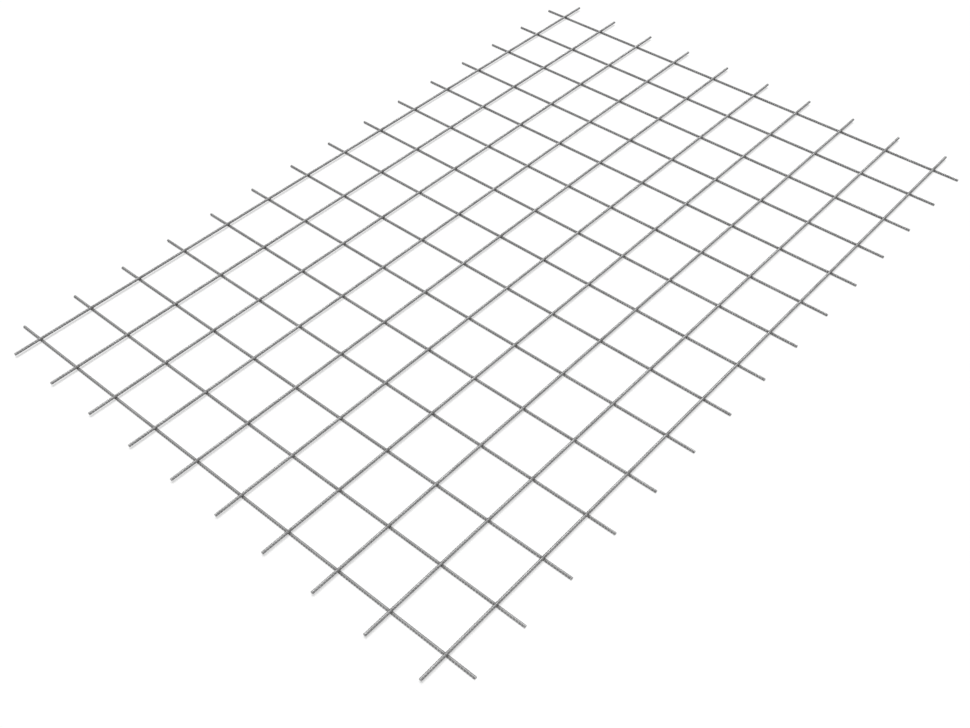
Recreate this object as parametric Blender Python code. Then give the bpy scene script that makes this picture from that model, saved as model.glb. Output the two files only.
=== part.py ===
"""Welded wire mesh panel: ten long ribbed bars laid over fifteen cross bars.

Every crossing is resistance welded, so the sheet is one piece of stock. The
bars are plain eight-sided stock here, with flats facing up, down and sideways.
Units are metres, +Z is up, and the sheet lies flat on its cross bars with the
origin under its middle. The long bars run along X.
"""

import math

import bmesh
import bpy
from mathutils import Matrix

# Bars
LONG_BAR_DIAMETER = 0.010
CROSS_BAR_DIAMETER = 0.010
BAR_SIDES = 8

# Grid
LONG_BAR_COUNT = 10
CROSS_BAR_COUNT = 15
LONG_BAR_PITCH = 0.200
CROSS_BAR_PITCH = 0.200

# Free bar ends past the outermost weld
LONG_BAR_OVERHANG = 0.100
CROSS_BAR_OVERHANG = 0.100

# Depth that the two bars of a crossing are pressed into each other by the weld
WELD_SET_DOWN = 0.0015

# Steel, as the sheet leaves the works
STEEL_COLOUR = (0.42, 0.42, 0.42, 1.0)
STEEL_METALLIC = 0.9
STEEL_ROUGHNESS = 0.42
SMOOTH_BELOW = math.radians(30.0)

LONG_BAR_LENGTH = (CROSS_BAR_COUNT - 1) * CROSS_BAR_PITCH + 2 * LONG_BAR_OVERHANG
CROSS_BAR_LENGTH = (LONG_BAR_COUNT - 1) * LONG_BAR_PITCH + 2 * CROSS_BAR_OVERHANG
CROSS_BAR_AXIS_Z = CROSS_BAR_DIAMETER / 2
LONG_BAR_AXIS_Z = CROSS_BAR_DIAMETER + LONG_BAR_DIAMETER / 2 - WELD_SET_DOWN


def clear_scene():
    for item in list(bpy.data.objects):
        bpy.data.objects.remove(item, do_unlink=True)


def steel_material(name):
    material = bpy.data.materials.new(name)
    material.use_nodes = True
    shader = material.node_tree.nodes["Principled BSDF"]
    shader.inputs["Base Color"].default_value = STEEL_COLOUR
    shader.inputs["Metallic"].default_value = STEEL_METALLIC
    shader.inputs["Roughness"].default_value = STEEL_ROUGHNESS
    return material


def bar_mesh(name, diameter, length, along):
    """A bar centred on its own axis, with a flat on top and square-cut ends."""
    half_turn_of_a_side = math.pi / BAR_SIDES
    corner_radius = diameter / 2 / math.cos(half_turn_of_a_side)
    bm = bmesh.new()
    bmesh.ops.create_cone(
        bm,
        cap_ends=True,
        cap_tris=False,
        segments=BAR_SIDES,
        radius1=corner_radius,
        radius2=corner_radius,
        depth=length,
        matrix=along @ Matrix.Rotation(half_turn_of_a_side, 4, "Z"),
    )
    bmesh.ops.recalc_face_normals(bm, faces=bm.faces)
    mesh = bpy.data.meshes.new(name)
    bm.to_mesh(mesh)
    bm.free()
    return mesh


def bar_layer(name, mesh, location, count, step):
    """A row of like bars: the first one, and a constant offset for the rest."""
    layer = bpy.data.objects.new(name, mesh)
    layer.location = location
    bpy.context.scene.collection.objects.link(layer)
    row = layer.modifiers.new("Row of bars", "ARRAY")
    row.fit_type = "FIXED_COUNT"
    row.count = count
    row.use_relative_offset = False
    row.use_constant_offset = True
    row.constant_offset_displace = step
    row.use_merge_vertices = False
    return layer


def build():
    clear_scene()

    along_x = Matrix.Rotation(math.pi / 2, 4, "Y")
    along_y = Matrix.Rotation(math.pi / 2, 4, "X")

    long_mesh = bar_mesh("long_bar", LONG_BAR_DIAMETER, LONG_BAR_LENGTH, along_x)
    cross_mesh = bar_mesh("cross_bar", CROSS_BAR_DIAMETER, CROSS_BAR_LENGTH, along_y)

    first_long_bar_y = -(LONG_BAR_COUNT - 1) * LONG_BAR_PITCH / 2
    first_cross_bar_x = -(CROSS_BAR_COUNT - 1) * CROSS_BAR_PITCH / 2

    panel = bar_layer(
        "welded_mesh_panel",
        long_mesh,
        (0.0, first_long_bar_y, LONG_BAR_AXIS_Z),
        LONG_BAR_COUNT,
        (0.0, LONG_BAR_PITCH, 0.0),
    )
    cross_bars = bar_layer(
        "cross_bars",
        cross_mesh,
        (first_cross_bar_x, 0.0, CROSS_BAR_AXIS_Z),
        CROSS_BAR_COUNT,
        (CROSS_BAR_PITCH, 0.0, 0.0),
    )
    cross_bars.hide_render = True
    cross_bars.display_type = "WIRE"

    welds = panel.modifiers.new("Welds at the crossings", "BOOLEAN")
    welds.operation = "UNION"
    welds.solver = "EXACT"
    welds.object = cross_bars

    steel = steel_material("plain_steel")
    long_mesh.materials.append(steel)
    cross_mesh.materials.append(steel)
    for mesh in (long_mesh, cross_mesh):
        mesh.shade_smooth()
        mesh.set_sharp_from_angle(angle=SMOOTH_BELOW)


build()
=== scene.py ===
"""Welded wire mesh panel: ribbed steel bars, their welds and finish, and a plain studio round them."""
import math

import bmesh
import bpy
import numpy as np
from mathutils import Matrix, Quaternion, Vector


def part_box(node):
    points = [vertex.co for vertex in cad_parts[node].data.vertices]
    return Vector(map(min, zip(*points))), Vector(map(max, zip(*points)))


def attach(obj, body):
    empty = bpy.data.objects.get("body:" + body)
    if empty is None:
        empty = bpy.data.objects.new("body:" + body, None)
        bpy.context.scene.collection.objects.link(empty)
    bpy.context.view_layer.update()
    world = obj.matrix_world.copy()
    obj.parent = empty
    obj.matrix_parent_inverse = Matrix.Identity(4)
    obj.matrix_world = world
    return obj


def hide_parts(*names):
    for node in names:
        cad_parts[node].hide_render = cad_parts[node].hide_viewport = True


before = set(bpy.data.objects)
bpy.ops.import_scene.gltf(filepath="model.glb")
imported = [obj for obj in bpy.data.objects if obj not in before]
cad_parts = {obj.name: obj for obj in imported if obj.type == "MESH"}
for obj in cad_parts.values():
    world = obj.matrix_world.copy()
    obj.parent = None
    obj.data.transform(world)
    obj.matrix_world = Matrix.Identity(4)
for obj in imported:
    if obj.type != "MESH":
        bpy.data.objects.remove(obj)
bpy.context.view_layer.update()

PANEL_NODE = "welded_mesh_panel"
BODY = "root"

# The sheet, in metres
panel_low, panel_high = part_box(PANEL_NODE)
LONG_BAR_LENGTH = panel_high[0] - panel_low[0]
CROSS_BAR_LENGTH = panel_high[1] - panel_low[1]
SHEET_THICKNESS = panel_high[2] - panel_low[2]
LONG_BAR_COUNT = 10
CROSS_BAR_COUNT = 15
CELL = 0.200

# One ribbed bar, in metres
BAR_RADIUS = 0.005
CORE_RADIUS = 0.00455
SEAM_RIB_HEIGHT = BAR_RADIUS - CORE_RADIUS
SEAM_RIB_CREST = 0.00045
SEAM_RIB_FOOT = 0.00100
RIB_PITCH = 0.010
RIB_HEIGHT = 0.00070
RIB_FOOT_WIDTH = 0.0028
RIB_CREST_WIDTH = 0.0011
RIB_FADE = 0.60
RIB_END_WIDTH = 0.60
RIB_HEIGHT_SPREAD = 0.07
RIB_PLACE_SPREAD = 0.00012
PITCHES_PER_TURN = 2
ROLL_SPREAD = math.radians(4.0)
# Share of the crests' wear kept on the bars' sides: less there paints shade on the sides and leaves painted
# sheen on the tops
RUB_AND_SHEEN_ON_SIDES = 0.45
BAR_SEED = 4100

# Lines of vertices of a bar: across a rib they run from foot over crest and crest to foot
RIB_SECTION = (0.0, 1.0, 1.0, 0.0)
ROWS_PER_RIB = len(RIB_SECTION)
SEAM_COLUMNS = len(RIB_SECTION)
ARC_STEPS = 6

# The welds, in metres
WELD_RING_RADIUS = 0.0035
WELD_RING_SWING = 0.00082
WELD_RING_SWELL = 0.05
WELD_BEAD_RADIUS = 0.00078
WELD_RING_STEPS = 16
WELD_BEAD_STEPS = 6
WELD_WAVES = 3
WELD_FIRST_WAVE = 2
WELD_WOBBLE = 0.16
WELD_HEAT_REACH = 0.011
WELD_SEED = 77

LONG_BAR_HEIGHT = SHEET_THICKNESS - BAR_RADIUS
CROSS_BAR_HEIGHT = BAR_RADIUS
WELD_HEIGHT = (LONG_BAR_HEIGHT + CROSS_BAR_HEIGHT) / 2

# The bake map: the bar's skin laid in rows, with its two ends in a band above them
MAP_NAME = "OFBake"
MAP_ROW_GAP = 0.08
MAP_END_MARGIN = 0.006
MAP_CAP_BAND = 0.045
MAP_CAP_SHARE = 0.45
MAP_WELD_MARGIN = 0.05

# Mill scale, shared by the three steels
PATCH_DETAIL = 5.0
PATCH_ROUGHNESS = 0.62
PATCH_RANGE = (0.32, 0.68)
PATCH_SHARE = 0.6
GRAIN_SCALE = 950.0
GRAIN_DETAIL = 4.0
GRAIN_ROUGHNESS = 0.6
GRAIN_RANGE = (0.30, 0.70)
GRAIN_SHARE = 0.4

# Drawn lines, shared by the bars and their cut ends
LINE_DETAIL = 3.0
LINE_ROUGHNESS = 0.65
LINE_RANGE = (0.42, 0.66)

# Steel of the bars, its pattern shifted from one bar to the next, in metres
PATTERN_SHIFT = np.array([0, 0.37, 0.11])
BAR_DARK = 0.135
BAR_LIGHT = 0.24
BAR_PATCH_SCALE = 21.0
BAR_LINE_STRETCH = (26.0, 1500.0, 1500.0)
BAR_LINE_GREY = 0.38
BAR_LINE_SHARE = 0.30
BAR_LINE_DEPTH = 0.5
BAR_ROUGHNESS = (0.40, 0.52)
BAR_SPECULAR = 0.2
BAR_BUMP = 0.35
BAR_BUMP_DISTANCE = 0.00008

# Where the bars are worn bright: on the rib crests, fully on their tops and bottoms and less on their sides,
# which is wear with painted sheen on the tops and painted shade on the sides
RUB_AND_SHEEN_GREY = 0.64
RUB_AND_SHEEN_SHARE = 0.92
RUBBED_ON_PATCHES = (0.65, 1.0)
RUBBED_SMOOTHNESS = 0.20
RUBBED_METALLIC = (0.05, 0.95)

# Where a weld has darkened the bars
HEAT_COLOUR = (0.075, 0.070, 0.067, 1.0)
HEAT_ON_PATCHES = (0.9, 0.5)
HEAT_DULLNESS = 0.12

# Steel of the cut ends
END_DARK = 0.26
END_LIGHT = 0.36
END_PATCH_SCALE = 260.0
END_LINE_STRETCH = (60.0, 2600.0, 220.0)
END_LINE_GREY = 0.50
END_LINE_SHARE = 0.5
END_ROUGHNESS = (0.32, 0.50)
END_METALLIC = 0.7
END_BUMP = 0.5
END_BUMP_DISTANCE = 0.00012

# Steel of the welds
WELD_DARK = 0.12
WELD_LIGHT = 0.24
WELD_PATCH_SCALE = 420.0
WELD_GRAIN_DEPTH = 0.4
WELD_ROUGHNESS = (0.45, 0.65)
WELD_METALLIC = 0.3
WELD_BUMP = 0.6
WELD_BUMP_DISTANCE = 0.00025

# The floor and the world: the first grey lights the sheet, and the shown ones are what the camera sees
FLOOR_SIZE = 80.0
FLOOR_COLOUR = 0.50
FLOOR_SHOWN_LIGHT = 0.56
FLOOR_SHOWN_COLOUR = 0.90
WORLD_FILL = 0.08
WORLD_SHOWN_LIGHT = 1.0

# Two soft panels light the sheet alone: one behind, which the tops of the bars mirror, and one in front
KEY_PLACE = Vector((6.5, -0.3, 8.1))
KEY_WIDTH = 12.0
KEY_DEPTH = 3.0
KEY_POWER = 500.0
FRONT_PLACE = Vector((-6.5, -4.8, 7.0))
FRONT_WIDTH = 5.0
FRONT_DEPTH = 5.0
FRONT_POWER = 720.0

# The soft light from straight above, in watts per square metre
OVERHEAD_STRENGTH = 1.35
OVERHEAD_SPREAD = math.radians(38.0)

# Camera, fitted to the sheet's bars and bar ends, in metres
CAMERA_PLACE = Vector((-2.553419, -2.030770, 2.695043))
CAMERA_TARGET = Vector((-0.535579, -0.283957, 0.0135))
CAMERA_ROLL = -0.001122
CAMERA_LENS = 43.614
CAMERA_SENSOR = 36.0

# Sockets of Blender's Mix node when it mixes colours
MIX_FACTOR = 0
MIX_FIRST = 6
MIX_SECOND = 7
MIX_RESULT = 2


def bar_places(count):
    """Places of evenly spaced bars about the sheet's middle."""
    return [(index - (count - 1) / 2) * CELL for index in range(count)]


LONG_BAR_PLACES = bar_places(LONG_BAR_COUNT)
CROSS_BAR_PLACES = bar_places(CROSS_BAR_COUNT)


def column_layout():
    """Angle, helix shift in pitches, rib fade and seam-rib mask of each line of vertices along a bar."""
    foot = SEAM_RIB_FOOT / CORE_RADIUS
    crest = SEAM_RIB_CREST / CORE_RADIUS
    share = np.arange(1, ARC_STEPS) / ARC_STEPS
    no_shift = np.zeros(SEAM_COLUMNS)
    half_angles = np.concatenate([[-foot, -crest, crest, foot], foot + (math.pi - 2 * foot) * share])
    half_shift = np.concatenate([no_shift, share])
    half_fade = np.concatenate([no_shift, np.sin(math.pi * share) ** RIB_FADE])
    half_seam = np.concatenate([RIB_SECTION, np.zeros(len(share))])
    angles = np.concatenate([half_angles, half_angles + math.pi])
    shifts = np.concatenate([half_shift, half_shift + PITCHES_PER_TURN / 2])
    return angles, shifts, np.tile(half_fade, 2), np.tile(half_seam, 2)


def bar_skin(length, random):
    """Points (rows, columns, 3) of a bar along X, somewhat too long, with each point's share of crest wear,
    painted sheen and painted shade.
    """
    angles, shifts, fade, seam = column_layout()
    columns = len(angles)
    ribs = int(length / RIB_PITCH) + 2 * PITCHES_PER_TURN + 2
    first = -length / 2 - (PITCHES_PER_TURN + 1) * RIB_PITCH - random.uniform(0, RIB_PITCH)
    half_foot = RIB_FOOT_WIDTH / 2
    half_crest = RIB_CREST_WIDTH / 2
    row_offset = np.array([-half_foot, -half_crest, half_crest, half_foot])
    width = RIB_END_WIDTH + (1 - RIB_END_WIDTH) * fade
    side = (np.arange(columns) >= columns // 2).astype(int)
    height = 1 + random.uniform(-RIB_HEIGHT_SPREAD, RIB_HEIGHT_SPREAD, (ribs, 2))
    slip = random.uniform(-RIB_PLACE_SPREAD, RIB_PLACE_SPREAD, (ribs, 2))
    along = (
        first
        + np.arange(ribs)[:, None, None] * RIB_PITCH
        + row_offset[None, :, None] * width[None, None]
        + shifts[None, None] * RIB_PITCH
        + (slip[:, side] * fade)[:, None]
    )
    crest = np.array(RIB_SECTION)[None, :, None] * fade * np.ones((ribs, 1, 1))
    radius = CORE_RADIUS + RIB_HEIGHT * crest * height[:, side][:, None] + SEAM_RIB_HEIGHT * seam
    roll = random.uniform(-ROLL_SPREAD, ROLL_SPREAD)
    turn = angles + roll
    points = np.stack([along, -radius * np.sin(turn), radius * np.cos(turn)], axis=-1)
    # Crest wear, full on the top and bottom and less on the sides: wear, with painted sheen on the tops and
    # painted shade on the sides
    mask = np.maximum(crest, seam) * (RUB_AND_SHEEN_ON_SIDES + (1 - RUB_AND_SHEEN_ON_SIDES) * np.cos(turn) ** 2)
    return points.reshape(-1, columns, 3), mask.reshape(-1, columns)


def skin_faces(rows, columns):
    """Quads of a bar's skin, which winds on by whole pitches with each turn."""
    row = np.arange(rows - 1)[:, None]
    column = np.arange(columns)[None]
    onward = np.where(column == columns - 1, PITCHES_PER_TURN * ROWS_PER_RIB, 0)
    beside = (row + onward) * columns + (column + 1) % columns
    here = row * columns + column
    quads = np.stack([here, beside, beside + columns, here + columns], axis=-1)
    return quads[(row + 1 + onward < rows)]


def mark_sharp_lines(mesh, columns):
    """Makes the feet of the ribs and of the seam ribs crisp. Their crests stay rounded."""
    ends = np.empty(len(mesh.edges) * 2, np.int32)
    mesh.edges.foreach_get("vertices", ends)
    row, column = np.divmod(ends.reshape(-1, 2), columns)
    side_column = column % (columns // 2)
    lengthwise = column[:, 0] == column[:, 1]
    foot_column = np.isin(side_column[:, 0], (0, SEAM_COLUMNS - 1))
    foot_row = np.isin(row[:, 0] % ROWS_PER_RIB, (0, ROWS_PER_RIB - 1))
    on_seam = (side_column < SEAM_COLUMNS).all(axis=1) & (np.abs(column[:, 0] - column[:, 1]) == 1)
    sharp = np.where(lengthwise, foot_column, foot_row & ~on_seam)
    mesh.attributes.new("sharp_edge", "BOOLEAN", "EDGE").data.foreach_set("value", sharp)


def lay_out_map(mesh, along, around, length):
    """Bake map of a bar: its skin unrolled, and laid in rows one above another."""
    rows = max(1, round(math.sqrt(length * (1 - MAP_CAP_BAND) / (2 * math.pi * BAR_RADIUS))))
    row_length = length / rows
    half_turn = 0.5
    corners = np.empty(len(mesh.loops), np.int32)
    mesh.loops.foreach_get("vertex_index", corners)
    corners = corners.reshape(-1, 4)
    turn = around[corners]
    wrapped = turn.max(axis=1) - turn.min(axis=1) > half_turn
    turn = np.where(wrapped[:, None] & (turn < half_turn), turn + 1, turn)
    x = along[corners] + length / 2
    row = np.clip(np.floor(x.mean(axis=1) / row_length), 0, rows - 1)[:, None]
    u = (x - row * row_length + MAP_END_MARGIN) / (row_length + 2 * MAP_END_MARGIN)
    v = (row + MAP_ROW_GAP / 2 + (1 - MAP_ROW_GAP) * turn) / rows * (1 - MAP_CAP_BAND)
    uv = np.stack([u, v], axis=-1).astype(np.float32)
    mesh.uv_layers.new(name=MAP_NAME).data.foreach_set("uv", uv.ravel())


def cut_ends_square(mesh, length, axis):
    """Trims both ends of a bar flat and closes them with a face of sheared steel."""
    work = bmesh.new()
    work.from_mesh(mesh)
    map_layer = work.loops.layers.uv[MAP_NAME]
    sideways = axis.cross(Vector((0, 0, 1)))
    spread = MAP_CAP_BAND * MAP_CAP_SHARE / (BAR_RADIUS + RIB_HEIGHT)
    for index, way in enumerate((-1, 1)):
        everything = work.verts[:] + work.edges[:] + work.faces[:]
        cut = bmesh.ops.bisect_plane(
            work, geom=everything, plane_co=axis * way * length / 2, plane_no=axis * way, clear_outer=True
        )
        rim = [item for item in cut["geom_cut"] if isinstance(item, bmesh.types.BMEdge)]
        for edge in rim:
            edge.smooth = False
        caps = bmesh.ops.edgeloop_fill(work, edges=rim, mat_nr=1, use_smooth=False)["faces"]
        place = Vector((MAP_CAP_BAND * (index + 0.5), 1 - MAP_CAP_BAND / 2))
        for cap in caps:
            cap.normal_update()
            if cap.normal.dot(axis * way) < 0:
                cap.normal_flip()
            middle = cap.calc_center_bounds()
            for corner in cap.loops:
                out = corner.vert.co - middle
                corner[map_layer].uv = place + Vector((out.dot(sideways), out.z)) * spread
    work.to_mesh(mesh)
    work.free()


def add_mask(mesh, name, values):
    """A value for each vertex, which the materials read by its name."""
    mesh.attributes.new(name, "FLOAT", "POINT").data.foreach_set("value", values)


def bar_mesh(name, length, axis, height, place, number, crossings):
    """Mesh of one ribbed bar in its place in the sheet, with its weld-heat mask and its crest mask of wear,
    painted sheen and painted shade.
    """
    random = np.random.default_rng(BAR_SEED + number)
    skin, crest = bar_skin(length, random)
    rows, columns = crest.shape
    local = skin.reshape(-1, 3)
    if axis.x:
        points = local + np.array([0, place, height])
    else:
        points = np.stack([-local[:, 1] + place, local[:, 0], local[:, 2] + height], axis=-1)
    faces = skin_faces(rows, columns)
    mesh = bpy.data.meshes.new(name)
    mesh.from_pydata(points.tolist(), [], faces.tolist())
    mesh.polygons.foreach_set("use_smooth", np.ones(len(faces), bool))
    mark_sharp_lines(mesh, columns)
    turn = (column_layout()[0] + SEAM_RIB_FOOT / CORE_RADIUS) / (2 * math.pi)
    lay_out_map(mesh, local[:, 0], np.tile(turn, rows), length)
    nearest = np.abs(local[:, 0][:, None] - np.array(crossings)[None]).min(axis=1)
    rise = points[:, 2] - WELD_HEIGHT
    away = np.sqrt(nearest**2 + local[:, 1] ** 2 + rise**2)
    # The crest mask holds wear, with painted sheen on the tops and painted shade on the sides
    add_mask(mesh, "crest", crest.ravel())
    add_mask(mesh, "weld_heat", np.exp(-((away / WELD_HEAT_REACH) ** 2)))
    bar_place = local + number * PATTERN_SHIFT
    mesh.attributes.new("bar_place", "FLOAT_VECTOR", "POINT").data.foreach_set("vector", bar_place.ravel())
    cut_ends_square(mesh, length, axis)
    return mesh


def bead_points(random, place_x, place_y):
    """Points of one uneven weld bead, in rings round the bead that follow one another round the crossing."""
    ring = np.arange(WELD_RING_STEPS) * 2 * math.pi / WELD_RING_STEPS
    section = np.arange(WELD_BEAD_STEPS) * 2 * math.pi / WELD_BEAD_STEPS
    wave = random.uniform(0, 2 * math.pi, WELD_WAVES)
    swell = sum(np.sin((n + WELD_FIRST_WAVE) * ring + wave[n]) for n in range(WELD_WAVES)) / WELD_WAVES
    rough = random.uniform(-WELD_WOBBLE, WELD_WOBBLE, (WELD_RING_STEPS, WELD_BEAD_STEPS)) / 2
    bead = WELD_BEAD_RADIUS * (1 + WELD_WOBBLE * swell)[:, None] * (1 + rough)
    out = WELD_RING_RADIUS * (1 + WELD_RING_SWELL * swell)[:, None] + bead * np.cos(section)
    rise = WELD_HEIGHT - WELD_RING_SWING * np.cos(2 * ring)[:, None] + bead * np.sin(section)
    x = place_x + out * np.cos(ring)[:, None]
    y = place_y + out * np.sin(ring)[:, None]
    return np.stack([x, y, rise], axis=-1).reshape(-1, 3)


def bead_quads():
    """Corners of each quad of a bead, as steps round the crossing and steps round the bead."""
    steps = [(a, b) for a in range(WELD_RING_STEPS) for b in range(WELD_BEAD_STEPS)]
    return [((a, b), (a + 1, b), (a + 1, b + 1), (a, b + 1)) for a, b in steps]


def weld_bead_mesh():
    """One uneven bead round each crossing, in the groove where the long bar sits on the cross bar."""
    random = np.random.default_rng(WELD_SEED)
    quads = bead_quads()
    map_share = 1 - 2 * MAP_WELD_MARGIN
    points, faces, uvs = [], [], []
    for row, place_y in enumerate(LONG_BAR_PLACES):
        for column, place_x in enumerate(CROSS_BAR_PLACES):
            start = len(points) * WELD_RING_STEPS * WELD_BEAD_STEPS
            points.append(bead_points(random, place_x, place_y))
            for quad in quads:
                turned = [(a % WELD_RING_STEPS, b % WELD_BEAD_STEPS) for a, b in quad]
                faces.append([start + a * WELD_BEAD_STEPS + b for a, b in turned])
                for a, b in quad:
                    uvs.append((column + MAP_WELD_MARGIN + map_share * a / WELD_RING_STEPS) / CROSS_BAR_COUNT)
                    uvs.append((row + MAP_WELD_MARGIN + map_share * b / WELD_BEAD_STEPS) / LONG_BAR_COUNT)
    mesh = bpy.data.meshes.new("weld_beads")
    mesh.from_pydata(np.concatenate(points).tolist(), [], faces)
    mesh.polygons.foreach_set("use_smooth", np.ones(len(faces), bool))
    mesh.uv_layers.new(name=MAP_NAME).data.foreach_set("uv", np.array(uvs, np.float32))
    return mesh


def set_inputs(tree, node, inputs):
    """Links each named input of a node to a socket, or sets it to a constant."""
    for name, value in inputs.items():
        if isinstance(value, bpy.types.NodeSocket):
            tree.links.new(value, node.inputs[name])
        else:
            node.inputs[name].default_value = value


def add_node(tree, kind, inputs=None, **settings):
    """A new node with its settings and inputs."""
    node = tree.nodes.new(kind)
    for name, value in settings.items():
        setattr(node, name, value)
    set_inputs(tree, node, inputs or {})
    return node


def math_node(tree, operation, first, second, clamp=False):
    """Result of an operation on two values."""
    inputs = {0: first, 1: second}
    return add_node(tree, "ShaderNodeMath", inputs, operation=operation, use_clamp=clamp).outputs[0]


def mix_colour(tree, factor, first, second):
    """The first colour, mixed towards the second by the factor."""
    inputs = {MIX_FACTOR: factor, MIX_FIRST: first, MIX_SECOND: second}
    return add_node(tree, "ShaderNodeMix", inputs, data_type="RGBA").outputs[MIX_RESULT]


def remap(tree, value, to_range, from_range=(0.0, 1.0)):
    """A value moved from one range to another, and held within it."""
    inputs = {
        "Value": value,
        "From Min": from_range[0],
        "From Max": from_range[1],
        "To Min": to_range[0],
        "To Max": to_range[1],
    }
    return add_node(tree, "ShaderNodeMapRange", inputs).outputs["Result"]


def grey(level):
    """An opaque grey."""
    return (level, level, level, 1.0)


def new_group(name, inputs, outputs):
    """An empty shader group with named sockets, and its input and output nodes' sockets."""
    group = bpy.data.node_groups.new(name, "ShaderNodeTree")
    kinds = {"vector": "NodeSocketVector", "colour": "NodeSocketColor", "value": "NodeSocketFloat"}
    for label, kind in inputs:
        group.interface.new_socket(name=label, in_out="INPUT", socket_type=kinds[kind])
    for label, kind in outputs:
        group.interface.new_socket(name=label, in_out="OUTPUT", socket_type=kinds[kind])
    return group, group.nodes.new("NodeGroupInput").outputs, group.nodes.new("NodeGroupOutput").inputs


def mill_scale_group():
    """Cloudy mill scale: broad patches, fine grain and the steel tone that they mix to."""
    group, given, out = new_group(
        "Mill Scale",
        [("Place", "vector"), ("Dark Steel", "colour"), ("Light Steel", "colour"), ("Patch Scale", "value")],
        [("Colour", "colour"), ("Patches", "value"), ("Grain", "value")],
    )
    patch_inputs = {
        "Vector": given["Place"],
        "Scale": given["Patch Scale"],
        "Detail": PATCH_DETAIL,
        "Roughness": PATCH_ROUGHNESS,
    }
    patches = add_node(group, "ShaderNodeTexNoise", patch_inputs).outputs["Fac"]
    grain_inputs = {
        "Vector": given["Place"],
        "Scale": GRAIN_SCALE,
        "Detail": GRAIN_DETAIL,
        "Roughness": GRAIN_ROUGHNESS,
    }
    grain = add_node(group, "ShaderNodeTexNoise", grain_inputs).outputs["Fac"]
    patches = remap(group, patches, (0.0, 1.0), PATCH_RANGE)
    grain = remap(group, grain, (0.0, 1.0), GRAIN_RANGE)
    patch_tone = math_node(group, "MULTIPLY", patches, PATCH_SHARE)
    grain_tone = math_node(group, "MULTIPLY", grain, GRAIN_SHARE)
    tone = math_node(group, "ADD", patch_tone, grain_tone)
    colour = mix_colour(group, tone, given["Dark Steel"], given["Light Steel"])
    for label, value in (("Colour", colour), ("Patches", patches), ("Grain", grain)):
        group.links.new(value, out[label])
    return group


def drawn_lines_group():
    """Fine lines that run one way over the steel, from rolling or from the shear."""
    group, given, out = new_group(
        "Drawn Lines",
        [("Place", "vector"), ("Stretch", "vector")],
        [("Lines", "value")],
    )
    stretch_inputs = {0: given["Place"], 1: given["Stretch"]}
    stretched = add_node(group, "ShaderNodeVectorMath", stretch_inputs, operation="MULTIPLY").outputs[0]
    line_inputs = {"Vector": stretched, "Scale": 1.0, "Detail": LINE_DETAIL, "Roughness": LINE_ROUGHNESS}
    lines = add_node(group, "ShaderNodeTexNoise", line_inputs).outputs["Fac"]
    group.links.new(remap(group, lines, (0.0, 1.0), LINE_RANGE), out["Lines"])
    return group


def use_group(tree, group, inputs):
    """Outputs of a shader group placed in a material."""
    return add_node(tree, "ShaderNodeGroup", inputs, node_tree=group).outputs


def use_mill_scale(tree, mill_scale, place, dark, light, patch_scale):
    """Outputs of the mill scale between two greys."""
    inputs = {
        "Place": place,
        "Dark Steel": grey(dark),
        "Light Steel": grey(light),
        "Patch Scale": patch_scale,
    }
    return use_group(tree, mill_scale, inputs)


def steel_material(name):
    """A new material, its node tree and its Principled shader."""
    material = bpy.data.materials.new(name)
    material.use_nodes = True
    tree = material.node_tree
    return material, tree, tree.nodes["Principled BSDF"]


def attribute(tree, name, output):
    """A mask or place that the mesh carries."""
    return add_node(tree, "ShaderNodeAttribute", attribute_name=name).outputs[output]


def bump(tree, height, strength, distance):
    """The surface's normal, roughened by a height."""
    inputs = {"Height": height, "Strength": strength, "Distance": distance}
    return add_node(tree, "ShaderNodeBump", inputs).outputs["Normal"]


def ribbed_mill_steel(mill_scale, drawn_lines):
    """Grey mill steel of the bars: worn bright on the rib crests, with painted sheen on the bars' tops and
    painted shade on their sides, dull in the ribs' feet, dark by the welds.
    """
    material, tree, shader = steel_material("ribbed_mill_steel")
    place = attribute(tree, "bar_place", "Vector")
    crest = attribute(tree, "crest", "Fac")
    heat = attribute(tree, "weld_heat", "Fac")
    scale = use_mill_scale(tree, mill_scale, place, BAR_DARK, BAR_LIGHT, BAR_PATCH_SCALE)
    lines = use_group(tree, drawn_lines, {"Place": place, "Stretch": BAR_LINE_STRETCH})["Lines"]
    uneven_rub = remap(tree, scale["Patches"], RUBBED_ON_PATCHES)
    rub_and_sheen = math_node(tree, "MULTIPLY", crest, uneven_rub, clamp=True)
    line_mask = math_node(tree, "MULTIPLY", lines, BAR_LINE_SHARE)
    colour = mix_colour(tree, line_mask, scale["Colour"], grey(BAR_LINE_GREY))
    # Lighter grey on the crests: wear, with painted sheen on the tops and painted shade on the sides
    rub_and_sheen_mix = math_node(tree, "MULTIPLY", rub_and_sheen, RUB_AND_SHEEN_SHARE)
    colour = mix_colour(tree, rub_and_sheen_mix, colour, grey(RUB_AND_SHEEN_GREY))
    uneven_heat = remap(tree, scale["Patches"], HEAT_ON_PATCHES)
    heat_mask = math_node(tree, "MULTIPLY", heat, uneven_heat, clamp=True)
    colour = mix_colour(tree, heat_mask, colour, HEAT_COLOUR)
    roughness = remap(tree, scale["Grain"], BAR_ROUGHNESS)
    smoothed = math_node(tree, "MULTIPLY", rub_and_sheen, RUBBED_SMOOTHNESS)
    roughness = math_node(tree, "SUBTRACT", roughness, smoothed)
    dulled = math_node(tree, "MULTIPLY", heat_mask, HEAT_DULLNESS)
    roughness = math_node(tree, "ADD", roughness, dulled)
    line_depth = math_node(tree, "MULTIPLY", lines, BAR_LINE_DEPTH)
    height = math_node(tree, "SUBTRACT", scale["Grain"], line_depth)
    finish = {
        "Base Color": colour,
        "Roughness": roughness,
        "Normal": bump(tree, height, BAR_BUMP, BAR_BUMP_DISTANCE),
        "Metallic": remap(tree, rub_and_sheen, RUBBED_METALLIC),
        "Specular IOR Level": BAR_SPECULAR,
    }
    set_inputs(tree, shader, finish)
    return material


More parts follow.
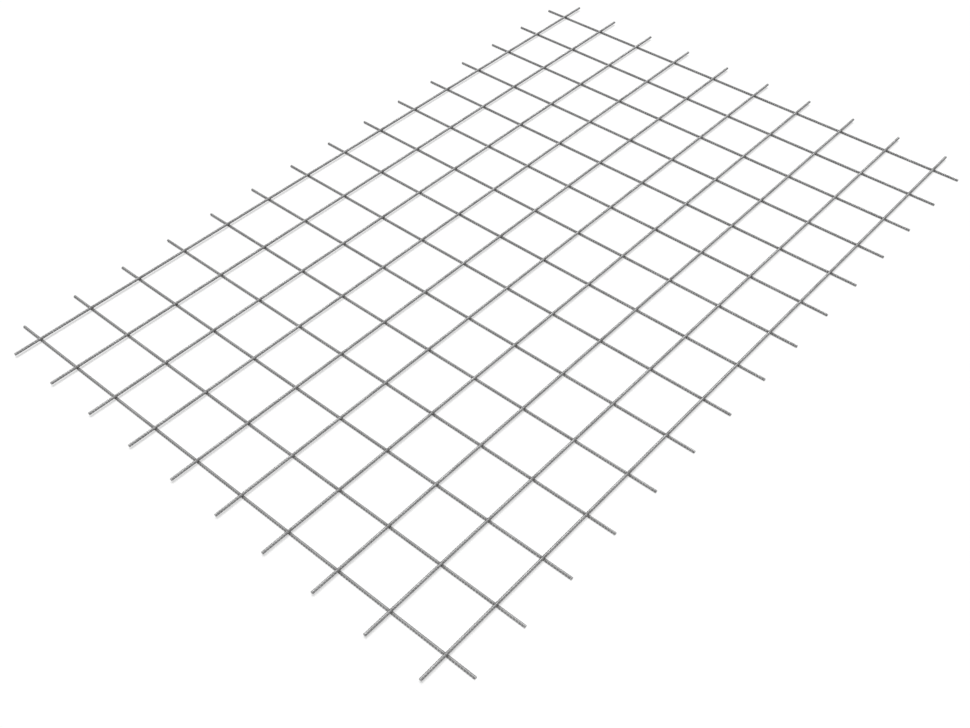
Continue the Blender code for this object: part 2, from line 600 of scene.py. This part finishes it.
def sheared_end_steel(mill_scale, drawn_lines):
    """Fresh steel of the cut ends, bright, with the lines that the shear leaves."""
    material, tree, shader = steel_material("sheared_end_steel")
    place = attribute(tree, "bar_place", "Vector")
    scale = use_mill_scale(tree, mill_scale, place, END_DARK, END_LIGHT, END_PATCH_SCALE)
    lines = use_group(tree, drawn_lines, {"Place": place, "Stretch": END_LINE_STRETCH})["Lines"]
    line_mask = math_node(tree, "MULTIPLY", lines, END_LINE_SHARE)
    finish = {
        "Base Color": mix_colour(tree, line_mask, scale["Colour"], grey(END_LINE_GREY)),
        "Roughness": remap(tree, scale["Grain"], END_ROUGHNESS),
        "Normal": bump(tree, lines, END_BUMP, END_BUMP_DISTANCE),
        "Metallic": END_METALLIC,
    }
    set_inputs(tree, shader, finish)
    return material


def burnt_weld_steel(mill_scale):
    """Steel squeezed out at a weld: dark, rough and spattered."""
    material, tree, shader = steel_material("burnt_weld_steel")
    place = add_node(tree, "ShaderNodeTexCoord").outputs["Object"]
    scale = use_mill_scale(tree, mill_scale, place, WELD_DARK, WELD_LIGHT, WELD_PATCH_SCALE)
    grain_height = math_node(tree, "MULTIPLY", scale["Grain"], WELD_GRAIN_DEPTH)
    height = math_node(tree, "ADD", scale["Patches"], grain_height)
    finish = {
        "Base Color": scale["Colour"],
        "Roughness": remap(tree, scale["Grain"], WELD_ROUGHNESS),
        "Normal": bump(tree, height, WELD_BUMP, WELD_BUMP_DISTANCE),
        "Metallic": WELD_METALLIC,
    }
    set_inputs(tree, shader, finish)
    return material


def add_piece(mesh, *materials):
    """A visible piece of the sheet, which stands for the plain solid."""
    piece = bpy.data.objects.new(mesh.name, mesh)
    bpy.context.scene.collection.objects.link(piece)
    for material in materials:
        mesh.materials.append(material)
    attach(piece, BODY)
    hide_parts(PANEL_NODE)
    return piece


def add_sheet():
    """All bars and welds of the sheet."""
    mill_scale = mill_scale_group()
    drawn_lines = drawn_lines_group()
    bar_steel = ribbed_mill_steel(mill_scale, drawn_lines)
    end_steel = sheared_end_steel(mill_scale, drawn_lines)
    weld_steel = burnt_weld_steel(mill_scale)
    along_x = Vector((1, 0, 0))
    along_y = Vector((0, 1, 0))
    layers = (
        ("long_bar", LONG_BAR_LENGTH, along_x, LONG_BAR_HEIGHT, LONG_BAR_PLACES, CROSS_BAR_PLACES),
        ("cross_bar", CROSS_BAR_LENGTH, along_y, CROSS_BAR_HEIGHT, CROSS_BAR_PLACES, LONG_BAR_PLACES),
    )
    sheet = bpy.data.collections.new("sheet")
    number = 0
    for label, length, axis, height, places, crossings in layers:
        for index, place in enumerate(places, start=1):
            mesh = bar_mesh(f"{label}_{index:02d}", length, axis, height, place, number, crossings)
            sheet.objects.link(add_piece(mesh, bar_steel, end_steel))
            number += 1
    sheet.objects.link(add_piece(weld_bead_mesh(), weld_steel))
    return sheet


def shown_rays(tree):
    """1 for rays that show the surroundings: to the camera, or by a reflection or through glass."""
    rays = add_node(tree, "ShaderNodeLightPath").outputs
    seen = math_node(tree, "MAXIMUM", rays["Is Camera Ray"], rays["Is Glossy Ray"])
    return math_node(tree, "MAXIMUM", seen, rays["Is Transmission Ray"])


def add_floor():
    """A floor that shows white and keeps the sheet's shadow, and lights the sheet as a grey one."""
    mesh = bpy.data.meshes.new("floor")
    reach = FLOOR_SIZE / 2
    corners = [(-reach, -reach, 0), (reach, -reach, 0), (reach, reach, 0), (-reach, reach, 0)]
    mesh.from_pydata(corners, [], [(0, 1, 2, 3)])
    floor = bpy.data.objects.new("floor", mesh)
    bpy.context.scene.collection.objects.link(floor)
    material = bpy.data.materials.new("white_floor")
    material.use_nodes = True
    tree = material.node_tree
    tree.nodes.remove(tree.nodes["Principled BSDF"])
    lit = add_node(tree, "ShaderNodeBsdfDiffuse", {"Color": grey(FLOOR_COLOUR)}).outputs[0]
    shown = add_node(tree, "ShaderNodeBsdfDiffuse", {"Color": grey(FLOOR_SHOWN_COLOUR)}).outputs[0]
    glow_inputs = {"Color": grey(1.0), "Strength": FLOOR_SHOWN_LIGHT}
    glow = add_node(tree, "ShaderNodeEmission", glow_inputs).outputs[0]
    shown = add_node(tree, "ShaderNodeAddShader", {0: shown, 1: glow}).outputs[0]
    surface = add_node(tree, "ShaderNodeMixShader", {0: shown_rays(tree), 1: lit, 2: shown}).outputs[0]
    tree.links.new(surface, tree.nodes["Material Output"].inputs["Surface"])
    mesh.materials.append(material)


def add_world():
    """White to the camera and to reflections, and a soft even fill for the rest."""
    world = bpy.data.worlds.new("studio")
    world.use_nodes = True
    tree = world.node_tree
    fill_inputs = {"Color": grey(1.0), "Strength": WORLD_FILL}
    fill = add_node(tree, "ShaderNodeBackground", fill_inputs).outputs[0]
    white = tree.nodes["Background"]
    set_inputs(tree, white, {"Color": grey(1.0), "Strength": WORLD_SHOWN_LIGHT})
    surface_inputs = {0: shown_rays(tree), 1: fill, 2: white.outputs[0]}
    surface = add_node(tree, "ShaderNodeMixShader", surface_inputs).outputs[0]
    tree.links.new(surface, tree.nodes["World Output"].inputs["Surface"])
    bpy.context.scene.world = world


def add_panel_lamp(name, place, width, depth, power, sheet):
    """A soft panel that faces straight down and lights the sheet alone."""
    data = bpy.data.lights.new(name, "AREA")
    data.shape = "RECTANGLE"
    data.size = width
    data.size_y = depth
    data.energy = power
    lamp = bpy.data.objects.new(name, data)
    lamp.location = place
    lamp.light_linking.receiver_collection = sheet
    bpy.context.scene.collection.objects.link(lamp)


def add_overhead_light():
    """An even light from above, as wide as a studio ceiling, which gives the soft shadows."""
    data = bpy.data.lights.new("overhead", "SUN")
    data.energy = OVERHEAD_STRENGTH
    data.angle = OVERHEAD_SPREAD
    lamp = bpy.data.objects.new("overhead", data)
    lamp.visible_glossy = False
    bpy.context.scene.collection.objects.link(lamp)


def add_camera():
    """The camera, which looks over the sheet from above one corner."""
    data = bpy.data.cameras.new("photo_view")
    data.lens = CAMERA_LENS
    data.sensor_width = CAMERA_SENSOR
    camera = bpy.data.objects.new("photo_view", data)
    camera.location = CAMERA_PLACE
    camera.rotation_mode = "QUATERNION"
    aim = (CAMERA_TARGET - CAMERA_PLACE).to_track_quat("-Z", "Y")
    camera.rotation_quaternion = aim @ Quaternion((0, 0, 1), CAMERA_ROLL)
    bpy.context.scene.collection.objects.link(camera)
    bpy.context.scene.camera = camera


sheet = add_sheet()
add_floor()
add_world()
add_panel_lamp("key", KEY_PLACE, KEY_WIDTH, KEY_DEPTH, KEY_POWER, sheet)
add_panel_lamp("front", FRONT_PLACE, FRONT_WIDTH, FRONT_DEPTH, FRONT_POWER, sheet)
add_overhead_light()
add_camera()
bpy.context.scene.view_settings.view_transform = "Standard"
